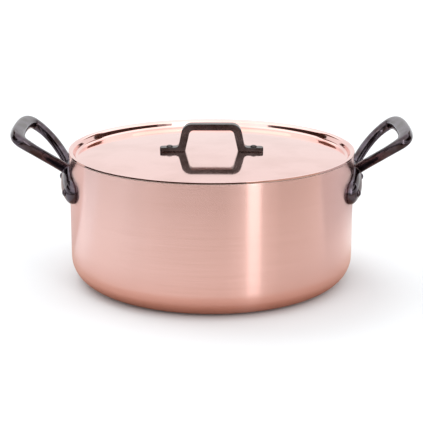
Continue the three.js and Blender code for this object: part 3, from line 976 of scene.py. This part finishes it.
def lid_span(lid):
    """Heights between which a cutter goes through the lid and its handle."""
    return lid.top / 2, 2 * lid.top


def lid_hole(scene, side):
    rivets = scene.stewpan_rivets
    radius = rivets.lid_shank_radius + rivets.hole_clearance
    hole = cylinder("hole", radius, *lid_span(scene.stewpan_lid), HOLE_SEGMENTS)
    place = side * scene.stewpan_lid_handle.rivet_spacing / 2
    hole.data.transform(Matrix.Translation((place, 0, 0)))
    return hole


class STEWPAN_OT_lid_handle(bpy.types.Operator):
    """Cast the lid's bridge handle and set its two rivets"""

    bl_idname = "stewpan.lid_handle"
    bl_label = "Lid handle"
    bl_options = {"REGISTER", "UNDO"}

    def execute(self, context):
        scene = context.scene
        bridge = scene.stewpan_lid_handle
        lid = scene.stewpan_lid
        rivets = scene.stewpan_rivets
        finishes = scene.stewpan_finishes
        iron = shared("blackened cast iron", blackened_iron, finishes)
        steel = shared("satin stainless steel", satin_stainless, finishes)
        outline = bridge_outline(scene)
        half_depth = bridge.depth / 2
        rings = [[Vector((at.x, side * half_depth, at.y)) for at in outline] for side in (-1, 1)]
        casting = loft("lid_handle_casting", rings)
        plan = ear_plan(scene)
        tall = loft("plan", [[Vector((at.x, at.y, level)) for at in plan] for level in lid_span(lid)])
        combine(casting, tall, "INTERSECT")
        blend_casting(casting, bridge.grain, bridge.blending)
        for side in (-1, 1):
            combine(casting, lid_hole(scene, side), "DIFFERENCE")
        finish_piece(casting, iron, LID, "cast_iron", "lid_handle")
        place = bridge.rivet_spacing / 2
        head_seat = dome_height(lid, place + rivets.lid_head_radius) - sheet_thickness(lid) - rivets.seat_gap
        ear_top = dome_height(lid, place) + bridge.seat_gap + bridge.ear_thickness
        profile = rivet_profile(
            rivets.lid_shank_radius,
            (rivets.lid_head_radius, rivets.lid_head_height),
            head_seat,
            (rivets.lid_tail_radius, rivets.lid_tail_height),
            ear_top + rivets.seat_gap,
        )
        for name, side in (("left", -1), ("right", 1)):
            rivet = lathe(f"lid_set_rivet_{name}", profile, RIVET_SEGMENTS)
            rivet.data.transform(Matrix.Translation((side * place, 0, 0)))
            finish_piece(rivet, iron, LID, "rivet", f"lid_rivet_{name}")
            steel_inside(rivet, steel, lambda at: at.z < ear_top - bridge.ear_thickness)
        return {"FINISHED"}


# Stage

SENSOR_WIDTH = 36  # mm
CARD_DISTANCE = 1.7


def facing(bearing, elevation, distance):
    """A place round the pan: bearing from the camera's side towards +X, and angle above the table."""
    flat = distance * math.cos(elevation)
    return Vector((flat * math.sin(bearing), -flat * math.cos(bearing), distance * math.sin(elevation)))


def hang(name, lamp, bearing, elevation, distance, aim):
    """Hang a lamp at angles in degrees, turned to a height on the pan's axis."""
    hung = bpy.data.objects.new(name, lamp)
    bpy.context.scene.collection.objects.link(hung)
    hung.location = facing(math.radians(bearing), math.radians(elevation), distance)
    hung.rotation_mode = "QUATERNION"
    hung.rotation_quaternion = (Vector((0, 0, aim)) - hung.location).to_track_quat("-Z", "Y")
    return hung


def softbox(name, width, height, radiance, tint, **place):
    """A rectangular lamp of an even radiance."""
    lamp = bpy.data.lights.new(name, "AREA")
    lamp.shape = "RECTANGLE"
    lamp.size = width
    lamp.size_y = height
    lamp.energy = radiance * math.pi * width * height
    lamp.color = linear(tint)
    return hang(name, lamp, **place)


def flag(name, turn, foot, head, paint):
    """A card round part of the pan that only the metal sees, between two bearings and two edges.

    An edge runs from one radius and height at the first bearing to another at the second.
    """
    steps = 48
    vertices = []
    for share in shares(steps):
        bearing = math.radians(mix(*turn, share))
        for first, last in (foot, head):
            radius, height = mix(Vector(first), Vector(last), share)
            vertices.append(facing(bearing, 0, radius) + Vector((0, 0, height)))
    faces = [(2 * step, 2 * step + 1, 2 * step + 3, 2 * step + 2) for step in range(steps)]
    card = new_piece(name, vertices, faces)
    card.data.materials.append(paint)
    card.visible_camera = False
    card.visible_diffuse = False
    card.visible_shadow = False
    card.visible_transmission = False


def flat_card(name, turn, inner, outer, level, paint):
    """A card that lies level between two radii."""
    flag(name, turn, [(inner, level)] * 2, [(outer, level)] * 2, paint)


def standing_card(name, turn, foot, head, paint):
    """A card that stands well away from the pan, with the heights of its edges at either end."""
    edges = [[(CARD_DISTANCE, height) for height in edge] for edge in (foot, head)]
    flag(name, turn, *edges, paint)


def card_paint(name, hex_colour):
    material, tree, shader = new_material(name)
    set_sockets(tree, shader, {"Base Color": rgba(linear(hex_colour)), "Specular IOR Level": 0.0}, {})
    return material


def graded_paint(name, bearing):
    """Paint that goes from paper white beside the pan to dark brown in front of it."""
    material, tree, shader = new_material(name)
    tints = {0: "D5D4D2", 0.15: "C6C1BD", 0.35: "BAADA3", 0.5: "A49182", 0.8: "4A3222"}
    stops = [(position, linear(tint)) for position, tint in tints.items()]
    place = add_node(tree, "TexCoord").outputs["Object"]
    way = facing(math.radians(bearing), 0, 1)
    distance = add_node(tree, "VectorMath", {1: way}, {0: place}, operation="DOT_PRODUCT").outputs["Value"]
    tone = add_node(tree, "ValToRGB", links={"Fac": distance}, stops=stops)
    set_sockets(tree, shader, {"Specular IOR Level": 0.0}, {"Base Color": tone})
    return material


def lay_paper(studio):
    radius = 9.0
    sides = 64
    below = Vector((0, 0, -0.1 * MM))  # keeps the paper clear of what stands at zero
    paper, tree, shader = new_material("white paper")
    looks = {"Base Color": rgba(studio.paper), "Roughness": 0.9, "Specular IOR Level": 0.1}
    set_sockets(tree, shader, looks, {})
    rim = [facing(2 * math.pi * share, 0, radius) + below for share in shares(sides)[:-1]]
    floor = new_piece("floor", rim, [tuple(range(len(rim)))])
    floor.data.materials.append(paper)


def set_cards():
    """Put round the pan the cards that its metal mirrors as darker bands, among them two rings of painted
    shadow round its foot.
    """
    black = card_paint("black card", "34221C")
    dark = card_paint("dark brown card", "1E1008")
    umber = card_paint("umber card", "6E5142")
    # The brown and tan paints are painted shadow, for the rings round the pan's foot.
    brown = card_paint("brown card", "AB8976")
    tan = card_paint("tan card", "BCA496")
    grey = card_paint("grey card", "9C8A7E")
    toned = card_paint("toned card", "9A9292")
    pale = card_paint("pale card", "B7AAA6")
    graded = graded_paint("graded card", bearing=25)
    # Cards that overlap lie at levels of their own.
    low = 1 * MM
    middle = 2 * MM
    high = 3 * MM
    all_round = (-180, 180)
    flat_card("front_card", (-88, 140), 0.2, CARD_DISTANCE, low, graded)
    line_foot = ((0.55, middle), (0.57, middle))
    line_head = ((0.75, middle), (0.9, middle))
    flag("left_line_card", (-138, 24), line_foot, line_head, dark)
    flat_card("right_line_card", (40, 120), 0.55, 0.75, middle, grey)
    flat_card("right_floor_card", (84, 165), 0.32, 0.8, high, toned)
    flat_card("left_floor_card", (-165, -108), 0.2, 0.8, high, pale)
    # Painted shadow: rings round the pan's foot, brown nearer and tan further out, that the copper's bottom
    # corner mirrors as the pot's shade on the paper.
    flat_card("painted_shadow_inner_ring", all_round, 0.118, 0.145, 0, brown)
    flat_card("painted_shadow_outer_ring", all_round, 0.145, 0.205, 0, tan)
    standing_card("left_card", (-121, -54), (0.25, 0.6), (1.0, 0.85), black)
    standing_card("left_back_card", (-150, -121), (0.7, 0.7), (1.4, 1.3), umber)
    standing_card("right_card", (36, 125), (0.75, 0.25), (0.93, 1.0), black)
    standing_card("right_back_card", (125, 150), (0.7, 0.7), (1.3, 1.4), umber)


def hang_lamps():
    """Hang the boxes that the metal mirrors as bright bands, and the key."""
    # Two wider, dimmer strips round a bright one soften its edges in the metal.
    strip_place = {"bearing": 31.6, "elevation": 24, "distance": 1.5, "aim": 0.1}
    strip_height = 1.2
    for width, radiance, lights_paper in ((0.26, 3.3, True), (0.6, 0.5, False), (1.0, 0.26, False)):
        strip = softbox("strip_box", width, strip_height, radiance, "FFFFFF", **strip_place)
        strip.visible_diffuse = lights_paper
    front_place = {"elevation": 49, "distance": 1.8, "aim": 0.13}
    front_size = (1.4, 0.42)
    front_radiance = 0.4
    for bearing in (-58, 0, 58):
        front = softbox("front_box", *front_size, front_radiance, "FFFFD8", bearing=bearing, **front_place)
        front.visible_diffuse = False
    # The key gives the shadow on the paper, and the metal doesn't mirror it.
    key = bpy.data.lights.new("key", "SUN")
    key.energy = 1.0
    key.angle = math.radians(40)
    sun = hang("key", key, bearing=-140, elevation=52, distance=2.0, aim=0)
    sun.visible_glossy = False


def light_studio(scene):
    """A white studio: walls that are dimmer towards the front, under a bright ceiling."""
    world = bpy.data.worlds.new("studio")
    scene.world = world
    world.use_nodes = True
    tree = world.node_tree
    place = add_node(tree, "TexCoord").outputs["Generated"]
    way = add_node(tree, "SeparateXYZ", links={"Vector": place}).outputs
    span = {"From Min": -0.8, "From Max": 0.5}
    walls = add_node(tree, "MapRange", {**span, "To Min": 0.2, "To Max": 0.98}, {"Value": way["Y"]})
    ceiling = add_node(tree, "MapRange", {**span, "To Min": 1.38, "To Max": 1.5}, {"Value": way["Y"]})
    # The ceiling comes lower at the front than at the back.
    lean = -0.15
    height = add_node(tree, "Math", {1: lean}, {0: way["Y"], 2: way["Z"]}, operation="MULTIPLY_ADD")
    glow = add_node(
        tree,
        "MapRange",
        {"From Min": 0.26, "From Max": 0.36},
        {"Value": height, "To Min": walls, "To Max": ceiling},
    )
    white = (1, 1, 1, 1)
    set_sockets(tree, tree.nodes["Background"], {"Color": white}, {"Strength": glow})


def place_camera(scene):
    studio = scene.stewpan_studio
    lens = bpy.data.cameras.new("camera")
    lens.lens = studio.lens
    lens.sensor_width = SENSOR_WIDTH
    lens.shift_y = studio.drop
    camera = bpy.data.objects.new("camera", lens)
    scene.collection.objects.link(camera)
    aim = Vector((0, 0, studio.aim_height))
    camera.location = aim + facing(0, studio.elevation, studio.distance)
    look = (aim - camera.location).to_track_quat("-Z", "Y").to_matrix().to_4x4()
    camera.rotation_euler = (look @ Matrix.Rotation(studio.roll, 4, "Z")).to_euler()
    scene.camera = camera


class STEWPAN_OT_stage(bpy.types.Operator):
    """Set up the paper, the cards, the lamps and the camera"""

    bl_idname = "stewpan.stage"
    bl_label = "Stage"
    bl_options = {"REGISTER", "UNDO"}

    def execute(self, context):
        scene = context.scene
        scene.view_settings.view_transform = "Standard"
        lay_paper(scene.stewpan_studio)
        set_cards()
        hang_lamps()
        light_studio(scene)
        place_camera(scene)
        return {"FINISHED"}


class STEWPAN_PT_sidebar(bpy.types.Panel):
    """Lists the pieces of the stewpan and its studio"""

    bl_idname = "STEWPAN_PT_sidebar"
    bl_label = "Copper stewpan"
    bl_space_type = "VIEW_3D"
    bl_region_type = "UI"
    bl_category = "Stewpan"

    def draw(self, context):
        for operator in OPERATORS:
            self.layout.operator(operator.bl_idname)
        for name in SETTINGS:
            settings = getattr(context.scene, name)
            column = self.layout.column(heading=name)
            for prop in settings.__annotations__:
                column.prop(settings, prop)


OPERATORS = (
    STEWPAN_OT_pot,
    STEWPAN_OT_lid,
    STEWPAN_OT_side_handles,
    STEWPAN_OT_lid_handle,
    STEWPAN_OT_stage,
)


def register():
    for name, group in SETTINGS.items():
        bpy.utils.register_class(group)
        setattr(bpy.types.Scene, name, PointerProperty(type=group))
    for operator in OPERATORS:
        bpy.utils.register_class(operator)
    bpy.utils.register_class(STEWPAN_PT_sidebar)


def unregister():
    bpy.utils.unregister_class(STEWPAN_PT_sidebar)
    for operator in reversed(OPERATORS):
        bpy.utils.unregister_class(operator)
    for name, group in SETTINGS.items():
        delattr(bpy.types.Scene, name)
        bpy.utils.unregister_class(group)


def main():
    register()
    bpy.ops.stewpan.pot()
    bpy.ops.stewpan.lid()
    bpy.ops.stewpan.side_handles()
    bpy.ops.stewpan.lid_handle()
    bpy.ops.stewpan.stage()


if __name__ == "__main__":
    main()
